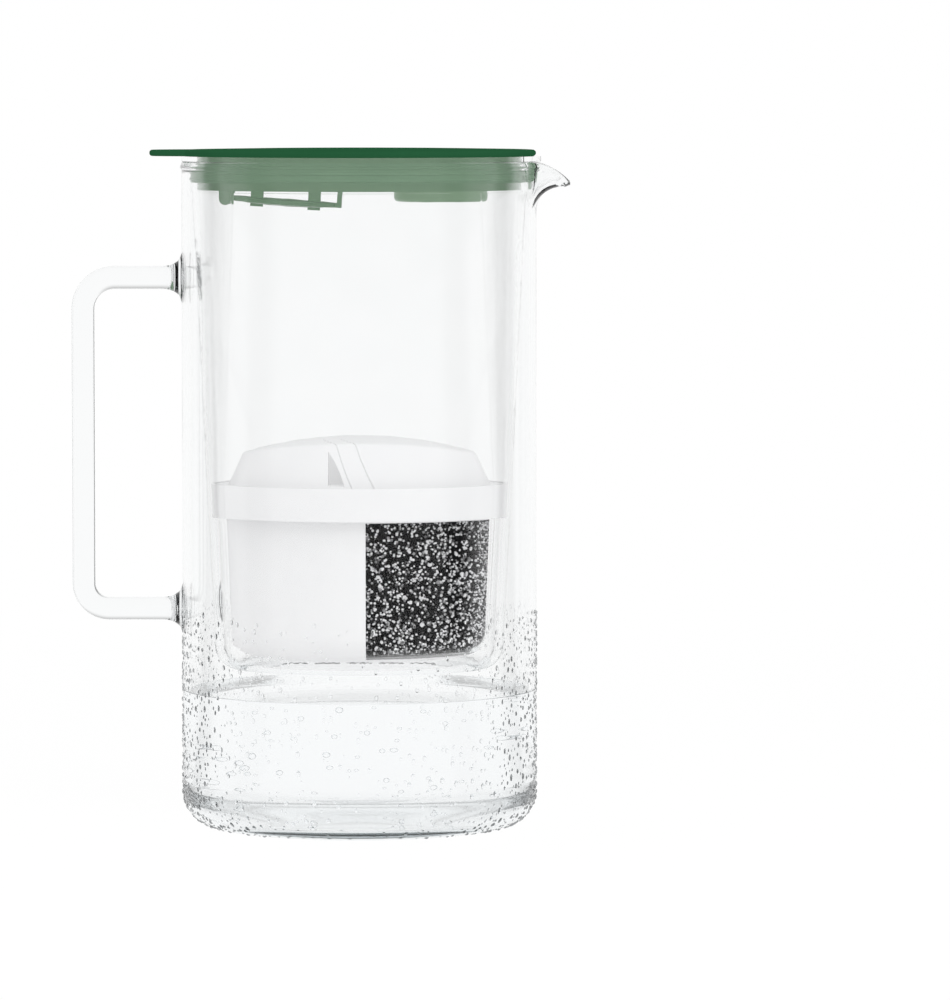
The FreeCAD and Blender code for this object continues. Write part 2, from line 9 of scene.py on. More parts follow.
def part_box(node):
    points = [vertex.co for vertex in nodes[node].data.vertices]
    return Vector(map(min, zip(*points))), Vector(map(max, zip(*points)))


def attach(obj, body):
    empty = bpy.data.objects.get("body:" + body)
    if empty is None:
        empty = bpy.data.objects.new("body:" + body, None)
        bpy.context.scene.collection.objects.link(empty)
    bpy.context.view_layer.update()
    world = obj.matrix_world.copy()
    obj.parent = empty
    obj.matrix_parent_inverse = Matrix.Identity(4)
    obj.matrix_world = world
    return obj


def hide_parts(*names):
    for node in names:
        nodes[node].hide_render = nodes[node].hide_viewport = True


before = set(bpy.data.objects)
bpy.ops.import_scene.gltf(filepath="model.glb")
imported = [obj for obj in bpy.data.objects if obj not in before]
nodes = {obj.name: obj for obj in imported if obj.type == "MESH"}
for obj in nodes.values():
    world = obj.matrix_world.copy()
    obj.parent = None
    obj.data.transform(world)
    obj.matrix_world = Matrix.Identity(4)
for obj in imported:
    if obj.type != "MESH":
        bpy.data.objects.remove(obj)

scene = bpy.context.scene
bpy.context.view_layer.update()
print("frame:", len(nodes), "nodes")


class Wire:  # a node's output, ready for sums
    def __init__(self, finish, socket):
        self.finish = finish
        self.socket = socket

    def sum(self, operation, first, second):
        return self.finish.node("ShaderNodeMath", {"operation": operation}, {0: first, 1: second})

    def __add__(self, other):
        return self.sum("ADD", self, other)

    def __radd__(self, other):
        return self.sum("ADD", other, self)

    def __sub__(self, other):
        return self.sum("SUBTRACT", self, other)

    def __rsub__(self, other):
        return self.sum("SUBTRACT", other, self)

    def __mul__(self, other):
        return self.sum("MULTIPLY", self, other)

    def __rmul__(self, other):
        return self.sum("MULTIPLY", other, self)

    def __pow__(self, other):
        return self.sum("POWER", self, other)

    def most(self, other):
        return self.sum("MAXIMUM", self, other)


class Finish:  # the nodes of one material, or of the world
    def __init__(self, owner):
        self.owner = owner
        owner.use_nodes = True
        self.tree = owner.node_tree
        self.tree.nodes.clear()

    def node(self, kind, settings=None, sockets=None, output=0):
        made = self.tree.nodes.new(kind)
        for key, value in (settings or {}).items():
            setattr(made, key, value)
        for key, value in (sockets or {}).items():
            if isinstance(value, Wire):
                self.tree.links.new(value.socket, made.inputs[key])
            else:
                made.inputs[key].default_value = value
        return Wire(self, made.outputs[output]) if made.outputs else None

    def place(self):
        return self.node("ShaderNodeTexCoord", output="Object")

    def noise(self, place, scale, detail):
        return self.node("ShaderNodeTexNoise", {}, {"Vector": place, "Scale": scale, "Detail": detail})

    def mixed(self, share, first, second):  # colours
        return self.node("ShaderNodeMix", {"data_type": "RGBA"}, {0: share, 6: first, 7: second}, output=2)

    def axes(self, vector):
        return [self.node("ShaderNodeSeparateXYZ", {}, {0: vector}, output=axis) for axis in "XYZ"]

    def ease(self, value, edge):  # 0 before the edge, 1 after it
        return self.node("ShaderNodeMapRange", {"interpolation_type": "SMOOTHSTEP"},
                         {0: value, 1: edge[0], 2: edge[1], 3: 0.0, 4: 1.0})

    def bump(self, height, strength, distance):
        return self.node("ShaderNodeBump", {}, {"Height": height, "Strength": strength, "Distance": distance})

    def surface(self, sockets, volume=None):
        shader = self.node("ShaderNodeBsdfPrincipled", {}, sockets)
        links = {"Surface": shader}
        if volume:
            links["Volume"] = self.node("ShaderNodeVolumeAbsorption", {}, volume)
        self.node("ShaderNodeOutputMaterial", {}, links)
        return self.owner


def newFinish(name):
    return Finish(bpy.data.materials.new(name))


noiseDetail = {"waves": 2.0, "smudge": 4.0, "cloud": 3.0, "grain": 2.0, "streaks": 4.0, "pits": 3.0}


# Clear finishes: a little unevenness in the surface, colour only from depth
def clearFinish(name, look):
    finish = newFinish(name)
    place = finish.place()
    waves = finish.noise(place, look["waveScale"], noiseDetail["waves"])
    smudge = finish.noise(place, look["smudgeScale"], noiseDetail["smudge"])
    tint = finish.mixed(smudge, look["pale"], look["deep"])
    sockets = {
        "Base Color": tint,
        "Roughness": look["rough"] * smudge,
        "IOR": look["ior"],
        "Specular Tint": look["mirror"],
        "Transmission Weight": 1.0,
        "Normal": finish.bump(waves, look["waveStrength"], look["waveDepth"]),
    }
    return finish.surface(sockets, look["volume"])


# Moulded plastics and silicone: clouded colour, uneven gloss, fine grain
def mouldedFinish(name, look):
    finish = newFinish(name)
    place = finish.place()
    cloud = finish.noise(place, look["cloudScale"], noiseDetail["cloud"])
    grain = finish.noise(place, look["grainScale"], noiseDetail["grain"])
    sockets = {
        "Base Color": finish.mixed(cloud, look["deep"], look["pale"]),
        "Roughness": look["rough"] + (cloud - 0.5) * look["roughSpread"],
        "Specular IOR Level": look["specular"],
        "Normal": finish.bump(grain, look["grainStrength"], look["grainDepth"]),
    }
    return finish.surface(sockets)


def steelFinish(look):
    finish = newFinish("drawnSteel")
    stretched = finish.node("ShaderNodeMapping", {}, {"Vector": finish.place(), "Scale": look["stretch"]})
    streaks = finish.noise(stretched, look["streakScale"], noiseDetail["streaks"])
    sockets = {
        "Base Color": finish.mixed(streaks, look["deep"], look["pale"]),
        "Metallic": 1.0,
        "Roughness": look["rough"] + streaks * look["roughSpread"],
        "Normal": finish.bump(streaks, look["streakStrength"], look["streakDepth"]),
    }
    return finish.surface(sockets)


def netFinish(look):  # threads crossing in two directions
    finish = newFinish("filterNet")
    across = finish.node("ShaderNodeTexWave", {"bands_direction": "X"},
                         {"Vector": finish.place(), "Scale": look["threadScale"]}, output=1)
    along = finish.node("ShaderNodeTexWave", {"bands_direction": "Y"},
                        {"Vector": finish.place(), "Scale": look["threadScale"]}, output=1)
    threads = across.most(along)
    sockets = {
        "Base Color": finish.mixed(threads, look["deep"], look["pale"]),
        "Roughness": look["rough"],
        "Normal": finish.bump(threads, look["threadStrength"], look["threadDepth"]),
    }
    return finish.surface(sockets)


def grainFinish(look):  # each granule carries its own colour
    finish = newFinish("filterGranules")
    own = finish.node("ShaderNodeAttribute", {"attribute_name": "grain"})
    pits = finish.noise(finish.place(), look["pitScale"], noiseDetail["pits"])
    sockets = {
        "Base Color": finish.mixed(pits * look["pitShade"], own, look["pitColour"]),
        "Roughness": look["rough"] + pits * look["roughSpread"],
        "Specular IOR Level": look["specular"],
        "Normal": finish.bump(pits, look["pitStrength"], look["pitDepth"]),
    }
    return finish.surface(sockets)


glassLook = {
    "pale": (1.0, 1.0, 1.0, 1), "deep": (0.985, 0.99, 0.99, 1), "rough": 0.0, "ior": 1.47,
    "waveScale": 18.0, "waveStrength": 0.05, "waveDepth": 0.0005, "smudgeScale": 60.0,
    "mirror": (0.1, 0.1, 0.1, 1), "volume": {"Color": (0.80, 0.83, 0.84, 1), "Density": 26.0},
}
hopperLook = {
    "pale": (1.0, 1.0, 1.0, 1), "deep": (0.985, 0.985, 0.985, 1), "rough": 0.004, "ior": 1.46,
    "waveScale": 30.0, "waveStrength": 0.02, "waveDepth": 0.0003, "smudgeScale": 90.0,
    "mirror": (0.1, 0.1, 0.1, 1), "volume": {"Color": (0.86, 0.87, 0.88, 1), "Density": 8.0},
}
waterLook = {
    "pale": (1.0, 1.0, 1.0, 1), "deep": (0.99, 0.995, 1.0, 1), "rough": 0.0, "ior": 1.33,
    "waveScale": 40.0, "waveStrength": 0.05, "waveDepth": 0.0004, "smudgeScale": 20.0,
    "mirror": (0.3, 0.3, 0.3, 1), "volume": {"Color": (0.80, 0.86, 0.90, 1), "Density": 0.6},
}
whiteLook = {
    "deep": (0.82, 0.82, 0.83, 1), "pale": (0.89, 0.89, 0.895, 1), "rough": 0.42, "roughSpread": 0.2,
    "specular": 0.4, "cloudScale": 45.0, "grainScale": 2600.0, "grainStrength": 0.12, "grainDepth": 0.00004,
}
lidLook = {
    "deep": (0.014, 0.078, 0.031, 1), "pale": (0.021, 0.098, 0.042, 1), "rough": 0.45, "roughSpread": 0.15,
    "specular": 0.0, "cloudScale": 35.0, "grainScale": 3200.0, "grainStrength": 0.1, "grainDepth": 0.00003,
}
plugLook = {
    "deep": (0.140, 0.232, 0.148, 1), "pale": (0.170, 0.262, 0.172, 1), "rough": 0.4, "roughSpread": 0.15,
    "specular": 0.3, "cloudScale": 40.0, "grainScale": 3000.0, "grainStrength": 0.1, "grainDepth": 0.00003,
}
# The plug's green plastic set lighter for the housing: painted light, standing for light that shines through
# its thin wall
housingPaintedLightLook = {
    "deep": (0.190, 0.295, 0.192, 1), "pale": (0.224, 0.330, 0.222, 1), "rough": 0.38, "roughSpread": 0.15,
    "specular": 0.35, "cloudScale": 60.0, "grainScale": 3000.0, "grainStrength": 0.1, "grainDepth": 0.00003,
}
sealLook = {
    "deep": (0.140, 0.232, 0.150, 1), "pale": (0.165, 0.260, 0.172, 1), "rough": 0.6, "roughSpread": 0.2,
    "specular": 0.3, "cloudScale": 70.0, "grainScale": 2200.0, "grainStrength": 0.25, "grainDepth": 0.00004,
}
boardLook = {
    "deep": (0.010, 0.085, 0.035, 1), "pale": (0.020, 0.120, 0.050, 1), "rough": 0.4, "roughSpread": 0.2,
    "specular": 0.5, "cloudScale": 300.0, "grainScale": 1500.0, "grainStrength": 0.3, "grainDepth": 0.00004,
}
switchLook = {
    "deep": (0.010, 0.010, 0.011, 1), "pale": (0.022, 0.022, 0.024, 1), "rough": 0.5, "roughSpread": 0.2,
    "specular": 0.5, "cloudScale": 200.0, "grainScale": 2600.0, "grainStrength": 0.2, "grainDepth": 0.00004,
}
lampLook = {
    "deep": (0.72, 0.70, 0.58, 1), "pale": (0.84, 0.83, 0.74, 1), "rough": 0.25, "roughSpread": 0.1,
    "specular": 0.5, "cloudScale": 400.0, "grainScale": 2600.0, "grainStrength": 0.1, "grainDepth": 0.00002,
}
steelLook = {
    "deep": (0.50, 0.50, 0.51, 1), "pale": (0.66, 0.66, 0.67, 1), "rough": 0.22, "roughSpread": 0.18,
    "stretch": (1.0, 14.0, 14.0), "streakScale": 160.0, "streakStrength": 0.15, "streakDepth": 0.00003,
}
netLook = {
    "deep": (0.46, 0.46, 0.45, 1), "pale": (0.82, 0.82, 0.80, 1), "rough": 0.7,
    "threadScale": 600.0, "threadStrength": 0.6, "threadDepth": 0.0001,
}
grainLook = {
    "rough": 0.5, "roughSpread": 0.3, "specular": 0.15, "pitShade": 0.3,
    "pitColour": (0.004, 0.004, 0.005, 1), "pitScale": 1800.0, "pitStrength": 0.4, "pitDepth": 0.00008,
}
clearGlass = clearFinish("clearGlass", glassLook)
clearPlastic = clearFinish("clearPlastic", hopperLook)
clearWater = clearFinish("clearWater", waterLook)
whitePlastic = mouldedFinish("whitePlastic", whiteLook)
lidGreen = mouldedFinish("lidGreen", lidLook)
plugGreen = mouldedFinish("plugGreen", plugLook)
housingPaintedLightGreen = mouldedFinish("housingPaintedLightGreen", housingPaintedLightLook)
sealGreen = mouldedFinish("sealGreen", sealLook)
boardGreen = mouldedFinish("boardGreen", boardLook)
switchBlack = mouldedFinish("switchBlack", switchLook)
lampResin = mouldedFinish("lampResin", lampLook)
drawnSteel = steelFinish(steelLook)
filterNet = netFinish(netLook)
filterGranules = grainFinish(grainLook)
print("finishes made")

# CAD nodes that keep their own shape
nodeFinishes = {
    "hopper": clearPlastic, "cartridge_window": clearPlastic, "indicator_lens": clearPlastic,
    "hopper_seal": sealGreen, "indicator_gasket": sealGreen,
    "cartridge_shell": whitePlastic, "cartridge_cap": whitePlastic,
    "inlet_screen": filterNet, "outlet_screen": filterNet,
    "lid_plate": lidGreen, "reset_button": lidGreen,
    "lid_plug": plugGreen, "indicator_housing": housingPaintedLightGreen, "refill_flap": plugGreen,
    "flap_hinge_pin": plugGreen, "coin_cell": drawnSteel, "cell_clip": drawnSteel,
    "indicator_board": boardGreen, "push_switch": switchBlack, "status_led": lampResin,
}
for name, finish in nodeFinishes.items():
    nodes[name].data.materials.clear()
    nodes[name].data.materials.append(finish)
print("CAD nodes dressed:", len(nodeFinishes))


mergeGap = 1e-6


# Profile drawing in the XZ plane: a pen point that runs and turns
def runTo(bm, tip, x, z, steps=1):
    start = tip.co.copy()
    for step in range(steps):
        tip = bmesh.ops.extrude_vert_indiv(bm, verts=[tip])["verts"][0]
        tip.co = start.lerp(Vector((x, 0, z)), (step + 1) / steps)
    return tip


def turnBy(bm, tip, x, z, angle, steps):
    swept = bmesh.ops.spin(bm, geom=[tip], cent=(x, 0, z), axis=(0, 1, 0), angle=angle, steps=steps)
    return [item for item in swept["geom_last"] if isinstance(item, bmesh.types.BMVert)][0]


def spinProfile(bm, segments):
    bmesh.ops.spin(bm, geom=bm.verts[:] + bm.edges[:], cent=(0, 0, 0), axis=(0, 0, 1), angle=2 * math.pi,
                   steps=segments, use_merge=True)
    bmesh.ops.remove_doubles(bm, verts=bm.verts, dist=mergeGap)
    bmesh.ops.recalc_face_normals(bm, faces=bm.faces)


def newPiece(name, bm, finish, body, sharpEdge=0.6):
    mesh = bpy.data.meshes.new(name)
    bm.to_mesh(mesh)
    bm.free()
    mesh.shade_smooth()
    mesh.set_sharp_from_angle(angle=sharpEdge)
    mesh.materials.append(finish)
    piece = bpy.data.objects.new(name, mesh)
    scene.collection.objects.link(piece)
    if body:
        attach(piece, body)
    return piece


# Jug: turned profile, then the rim is pulled out into the lip on the +X side
jug = {
    "radius": 0.062, "wall": 0.0024, "base": 0.005, "footRound": 0.012, "floorRound": 0.009,
    "bead": 0.0005, "beadHeight": 0.0032, "rimRound": 0.0006, "segments": 256, "cornerSteps": 12,
    "wallSteps": 56, "floorRows": 3, "lipRows": 16, "beadRows": 6, "neckRows": 2, "rimSteps": 5,
    "sharpEdge": 0.6, "lipLongest": 0.04, "lipTries": 40, "lipHalfWidth": 0.0175, "lipBend": 0.0085,
    "lipStart": 0.2151, "lipTurn": 1.42, "lipThinning": 0.3, "droopX": 0.0585, "droopRadius": 0.0184,
}
jug["height"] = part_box("glass_jug")[1].z
jug["inner"] = jug["radius"] - jug["wall"]


def jugProfile(bm):
    radius, inner, top = jug["radius"], jug["inner"], jug["height"]
    foot, bend, edge = jug["footRound"], jug["floorRound"], jug["rimRound"]
    steps = jug["cornerSteps"]
    shoulder = top - jug["beadHeight"]
    tip = bm.verts.new((0, 0, 0))
    tip = runTo(bm, tip, radius - foot, 0, jug["floorRows"])
    tip = turnBy(bm, tip, radius - foot, foot, -math.pi / 2, steps)
    tip = runTo(bm, tip, radius, jug["lipStart"], jug["wallSteps"])
    tip = runTo(bm, tip, radius, shoulder, jug["lipRows"])
    for row in range(jug["beadRows"]):  # the bead swells and goes back
        share = (row + 1) / jug["beadRows"]
        swell = jug["bead"] * math.sin(math.pi * share) ** 2
        tip = runTo(bm, tip, radius + swell, shoulder + (jug["beadHeight"] - edge) * share)
    tip = turnBy(bm, tip, radius - edge, top - edge, -math.pi / 2, jug["rimSteps"])
    tip = runTo(bm, tip, inner + edge, top)
    tip = turnBy(bm, tip, inner + edge, top - edge, -math.pi / 2, jug["rimSteps"])
    tip = runTo(bm, tip, inner, shoulder, jug["neckRows"])
    tip = runTo(bm, tip, inner, jug["lipStart"], jug["lipRows"])
    tip = runTo(bm, tip, inner, jug["base"] + bend, jug["wallSteps"])
    tip = turnBy(bm, tip, inner - bend, jug["base"] + bend, math.pi / 2, steps)
    runTo(bm, tip, 0, jug["base"], jug["floorRows"])


def lipPoint(wallX, depth, turn, length):  # a wall point carried along the bent lip
    bend = jug["lipBend"]
    middle = bend + jug["wall"] / 2
    angle = min(length / middle, turn)
    straight = length - middle * angle
    x = wallX + bend - (bend + depth) * math.cos(angle) + straight * math.sin(angle)
    z = jug["lipStart"] + (bend + depth) * math.sin(angle) + straight * math.cos(angle)
    return x, z


def lipLength(wallX, turn):  # how far the lip runs before it meets the drooping edge
    low, high = 0.0, jug["lipLongest"]
    for _ in range(jug["lipTries"]):
        middle = (low + high) / 2
        x, z = lipPoint(wallX, 0, turn, middle)
        reach = math.hypot(max(x - jug["droopX"], 0), z - jug["height"] + jug["droopRadius"])
        low, high = (middle, high) if reach < jug["droopRadius"] else (low, middle)
    return low


def pullLip(bm):
    rise = jug["height"] - jug["lipStart"]
    for vert in bm.verts:
        flat = math.hypot(vert.co.x, vert.co.y)
        across = abs(vert.co.y) / flat * jug["radius"] if flat else 1
        if vert.co.x < 0 or across > jug["lipHalfWidth"] or vert.co.z < jug["lipStart"]:
            continue
        share = math.cos(math.pi / 2 * across / jug["lipHalfWidth"]) ** 2
        lean = vert.co.x / flat
        along = (vert.co.z - jug["lipStart"]) / rise
        depth = (jug["radius"] - flat) * lean * (1 - jug["lipThinning"] * share * along)
        turn = jug["lipTurn"] * share
        length = along * lipLength(jug["radius"] * lean, turn)
        vert.co.x, vert.co.z = lipPoint(jug["radius"] * lean, depth, turn, length)


# Handle: a rod drawn along its bends, flared where it is welded to the wall
handle = {
    "rod": 0.004, "weld": 0.0088, "weldLength": 0.0068, "sink": 0.0012, "reach": 0.0386,
    "top": 0.192, "bottom": 0.076, "bendTop": 0.011, "bendBottom": 0.009,
    "sides": 40, "bendSteps": 14, "weldSteps": 9, "armSteps": 4, "gripSteps": 12,
}


def extrudeRing(bm, ring, move):
    grown = bmesh.ops.extrude_edge_only(bm, edges=ring)["geom"]
    verts = [item for item in grown if isinstance(item, bmesh.types.BMVert)]
    bmesh.ops.translate(bm, verts=verts, vec=move)
    return [item for item in grown if isinstance(item, bmesh.types.BMEdge)
            and all(vert in verts for vert in item.verts)]


def ringVerts(ring):
    return list({vert for edge in ring for vert in edge.verts})


def swellRing(bm, ring, size, height):  # size of a ring that stands square to X
    verts = ringVerts(ring)
    middle = sum((vert.co for vert in verts), Vector()) / len(verts)
    now = (verts[0].co - middle).length
    bmesh.ops.scale(bm, verts=verts, vec=(1, size / now, size / now),
                    space=Matrix.Translation(Vector((-middle.x, 0, -height))))


def weldSize(share):  # quarter ellipse between wall and rod
    return handle["rod"] + (handle["weld"] - handle["rod"]) * (1 - math.sqrt(1 - (1 - share) ** 2))


def bendRing(bm, ring, centre, angle):
    swept = bmesh.ops.spin(bm, geom=ring, cent=centre, axis=(0, 1, 0), angle=angle,
                           steps=handle["bendSteps"])["geom_last"]
    return [item for item in swept if isinstance(item, bmesh.types.BMEdge)]


def runRing(bm, ring, move, steps):
    for _ in range(steps):
        ring = extrudeRing(bm, ring, move / steps)
    return ring


def handleMesh():
    bm = bmesh.new()
    wallX = -jug["radius"]
    gripX = wallX - handle["reach"] + handle["rod"]
    top, bottom = handle["top"], handle["bottom"]
    place = Matrix.Translation((wallX + handle["sink"], 0, top)) @ Matrix.Rotation(math.pi / 2, 4, "Y")
    bmesh.ops.create_circle(bm, cap_ends=False, segments=handle["sides"], radius=handle["weld"], matrix=place)
    ring = extrudeRing(bm, bm.edges[:], Vector((-handle["sink"], 0, 0)))
    for step in range(handle["weldSteps"]):
        ring = extrudeRing(bm, ring, Vector((-handle["weldLength"] / handle["weldSteps"], 0, 0)))
        swellRing(bm, ring, weldSize((step + 1) / handle["weldSteps"]), top)
    armEnd = wallX - handle["weldLength"]
    ring = runRing(bm, ring, Vector((gripX + handle["bendTop"] - armEnd, 0, 0)), handle["armSteps"])
    ring = bendRing(bm, ring, (gripX + handle["bendTop"], 0, top - handle["bendTop"]), -math.pi / 2)
    drop = bottom + handle["bendBottom"] - (top - handle["bendTop"])
    ring = runRing(bm, ring, Vector((0, 0, drop)), handle["gripSteps"])
    ring = bendRing(bm, ring, (gripX + handle["bendBottom"], 0, bottom + handle["bendBottom"]), -math.pi / 2)
    ring = runRing(bm, ring, Vector((armEnd - gripX - handle["bendBottom"], 0, 0)), handle["armSteps"])
    for step in range(handle["weldSteps"]):
        ring = extrudeRing(bm, ring, Vector((handle["weldLength"] / handle["weldSteps"], 0, 0)))
        swellRing(bm, ring, weldSize(1 - (step + 1) / handle["weldSteps"]), bottom)
    extrudeRing(bm, ring, Vector((handle["sink"], 0, 0)))
    bmesh.ops.holes_fill(bm, edges=bm.edges, sides=0)
    bmesh.ops.recalc_face_normals(bm, faces=bm.faces)
    return bm


def bakedMesh(piece):  # what the modifiers make of a piece
    bpy.context.view_layer.update()
    return bpy.data.meshes.new_from_object(piece.evaluated_get(bpy.context.evaluated_depsgraph_get()))


jugForm = bmesh.new()
jugProfile(jugForm)
spinProfile(jugForm, jug["segments"])
pullLip(jugForm)
glassJug = newPiece("glassJug", jugForm, clearGlass, "jug")
weldTool = newPiece("weldTool", handleMesh(), clearGlass, None)
weld = glassJug.modifiers.new("weld", "BOOLEAN")
weld.operation = "UNION"
weld.object = weldTool
weld.solver = "EXACT"
glassJug.data = bakedMesh(glassJug)
glassJug.modifiers.clear()
glassJug.data.set_sharp_from_angle(angle=jug["sharpEdge"])
bpy.data.objects.remove(weldTool)
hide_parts("glass_jug", "glass_handle")
print("glass jug:", len(glassJug.data.polygons), "faces")

# Filtered water, a hair wider than the glass bore so that no air shows between them
water = {
    "level": 0.0478, "meniscus": 0.0004, "overlap": 0.00005,
    "segments": 192, "steps": 8, "floorRows": 2, "rows": 40,
}


def waterMesh():
    bm = bmesh.new()
    bend = jug["floorRound"]
    radius = jug["inner"] + water["overlap"]
    floor = jug["base"] - water["overlap"]
    tip = bm.verts.new((0, 0, floor))
    tip = runTo(bm, tip, radius - bend, floor, water["floorRows"])
    tip = turnBy(bm, tip, radius - bend, floor + bend, -math.pi / 2, jug["cornerSteps"])
    tip = runTo(bm, tip, radius, water["level"] + water["meniscus"], water["rows"])
    tip = turnBy(bm, tip, radius - water["meniscus"], water["level"] + water["meniscus"], math.pi / 2,
                 water["steps"])
    runTo(bm, tip, 0, water["level"], water["rows"])
    spinProfile(bm, water["segments"])
    return bm


filteredWater = newPiece("filteredWater", waterMesh(), clearWater, "jug")
print("water:", len(filteredWater.data.polygons), "faces")

# Granules behind the clear pane: a dark core with loose grains on its face
media = {
    "count": 5200, "small": 0.00036, "large": 0.00062, "rareLarge": 0.00115, "rareShare": 0.012,
    "blackShare": 0.38, "greyShare": 0.24, "coreInset": 0.0009, "seed": 7,
    "endX": 0.02959, "endRadius": 0.02401, "halfDepth": 0.03661, "draft": 0.049, "wallInset": 0.00765,
    "footRound": 0.0096, "bearings": (-1.6, 0.05), "coreColour": (0.003, 0.003, 0.004, 1),
    "whiteShades": (0.75, 0.98), "blackShades": (0.001, 0.008), "greyShades": (0.08, 0.42), "blueCast": 1.02,
}
media["mouth"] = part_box("cartridge_shell")[1].z


def ovalPoint(angle, inset):  # a point of the cartridge's oval by the direction that its wall faces
    endX, endRadius, halfDepth = media["endX"], media["endRadius"], media["halfDepth"]
    side = (endX ** 2 + halfDepth ** 2 - endRadius ** 2) / (2 * (halfDepth - endRadius))
    joint = math.atan2(side - halfDepth, endX)
    bearing = math.atan2(abs(math.sin(angle)), abs(math.cos(angle)))
    if bearing < joint:
        x = endX + (endRadius - inset) * math.cos(bearing)
        y = (endRadius - inset) * math.sin(bearing)
    else:
        x = (side - inset) * math.cos(bearing)
        y = (side - inset) * math.sin(bearing) - (side - halfDepth)
    return Vector((math.copysign(x, math.cos(angle)), math.copysign(y, math.sin(angle)), 0))


def addGranule(bm, chance, low, high):
    colour = bm.verts.layers.float_color.get("grain") or bm.verts.layers.float_color.new("grain")
    size = chance.uniform(media["small"], media["large"])
    if chance.random() < media["rareShare"]:
        size = media["rareLarge"]
    height = chance.uniform(low.z + size, high.z - size)
    inset = media["wallInset"] + size + (media["mouth"] - height) * media["draft"]
    foot = max(0.0, low.z + media["footRound"] - height)  # the bed's rounded bottom edge
    inset += media["footRound"] - math.sqrt(max(media["footRound"] ** 2 - foot ** 2, 0))
    spot = ovalPoint(chance.uniform(*media["bearings"]), inset + chance.uniform(0, media["small"]))
    spot.z = height
    axis = Vector((chance.uniform(-1, 1), chance.uniform(-1, 1), 1))
    place = Matrix.Translation(spot) @ Matrix.Rotation(chance.uniform(0, math.tau), 4, axis)
    grain = bmesh.ops.create_icosphere(bm, subdivisions=1, radius=size, matrix=place)["verts"]
    pick = chance.random()
    shade = chance.uniform(*media["whiteShades"])
    if pick < media["blackShare"]:
        shade = chance.uniform(*media["blackShades"])
    elif pick < media["blackShare"] + media["greyShare"]:
        shade = chance.uniform(*media["greyShades"])
    for vert in grain:
        vert[colour] = (shade, shade, shade * media["blueCast"], 1)


def inBatches(bm, count, addOne):  # many small shapes: small batches keep the mesh tools quick
    batch = 100
    for start in range(0, count, batch):
        part = bmesh.new()
        for _ in range(min(batch, count - start)):
            addOne(part)
        held = bpy.data.meshes.new("held")
        part.to_mesh(held)
        part.free()
        bm.from_mesh(held)
        bpy.data.meshes.remove(held)


def granuleMesh():
    bm = bmesh.new()
    bm.from_mesh(nodes["filter_media"].data)
    bmesh.ops.remove_doubles(bm, verts=bm.verts, dist=mergeGap)
    for vert in bm.verts:
        vert.co -= vert.normal * media["coreInset"]
    colour = bm.verts.layers.float_color.new("grain")
    for vert in bm.verts:
        vert[colour] = media["coreColour"]
    low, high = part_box("filter_media")
    chance = random.Random(media["seed"])
    inBatches(bm, media["count"], lambda part: addGranule(part, chance, low, high))
    return bm


granuleBed = newPiece("granuleBed", granuleMesh(), filterGranules, "cartridge")
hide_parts("filter_media")
print("granules:", len(granuleBed.data.polygons), "faces")

# Water drops clinging to the outside of the lower wall, thickest towards the foot
drops = {
    "count": 2800, "small": 0.0003, "large": 0.0009, "rarity": 1.8, "steepness": 1.1, "stretch": (1.0, 1.6),
    "sink": 0.15, "cut": 0.3, "lowest": 0.004, "span": 0.079, "thinning": 1.35, "faceShare": 0.12,
    "apart": 1.25, "sharpEdge": 0.9, "seed": 21,
}


def jugSkin(along):  # point and outward way on the jug's outer profile, by length from the foot's edge
    foot = jug["footRound"]
    bend = foot * math.pi / 2
    if along > bend:
        return Vector((jug["radius"], 0, foot + along - bend)), Vector((1, 0, 0))
    angle = along / foot
    outward = Vector((math.sin(angle), 0, -math.cos(angle)))
    return Vector((jug["radius"] - foot, 0, foot)) + outward * foot, outward


def dropForms(chance):  # spots that keep clear of each other, fewer on the front and the back
    taken = []
    while len(taken) < drops["count"]:
        size = drops["small"] + (drops["large"] - drops["small"]) * chance.random() ** drops["rarity"]
        along = drops["span"] * chance.random() ** drops["thinning"] + drops["lowest"]
        stretch = chance.uniform(*drops["stretch"])
        bearing = chance.uniform(0, math.tau)
        if chance.random() > drops["faceShare"] + math.cos(bearing) ** 2:
            continue
        spot, outward = jugSkin(along)
        across = Vector((0, 1, 0))
        turn = Matrix((outward.cross(across), across, outward)).transposed().to_4x4()
        turn = Matrix.Rotation(bearing, 4, "Z") @ Matrix.Translation(spot) @ turn
        centre = turn.translation.copy()
        if any((centre - other).length < (size + reach) * drops["apart"] for other, reach in taken):
            continue
        taken.append((centre, size))
        yield turn @ Matrix.Diagonal((size * stretch, size, size * drops["steepness"], 1))


def addDrop(bm, form):
    dome = bmesh.ops.create_icosphere(bm, subdivisions=2, radius=1.0)["verts"]
    around = list({face for vert in dome for face in vert.link_faces})
    edges = list({edge for vert in dome for edge in vert.link_edges})
    cut = bmesh.ops.bisect_plane(bm, geom=dome + edges + around, plane_co=(0, 0, drops["cut"]),
                                 plane_no=(0, 0, 1), clear_inner=True)
    rim = [item for item in cut["geom_cut"] if isinstance(item, bmesh.types.BMEdge)]
    bmesh.ops.holes_fill(bm, edges=rim, sides=0)
    kept = list({vert for vert in dome if vert.is_valid} | {vert for edge in rim for vert in edge.verts})
    bmesh.ops.translate(bm, verts=kept, vec=(0, 0, -drops["cut"] - drops["sink"]))
    bmesh.ops.transform(bm, matrix=form, verts=kept)


def dropMesh():
    bm = bmesh.new()
    forms = dropForms(random.Random(drops["seed"]))
    inBatches(bm, drops["count"], lambda part: addDrop(part, next(forms)))
    bmesh.ops.recalc_face_normals(bm, faces=bm.faces)
    return bm


waterDrops = newPiece("waterDrops", dropMesh(), clearWater, "jug", drops["sharpEdge"])
print("drops:", len(waterDrops.data.polygons), "faces")

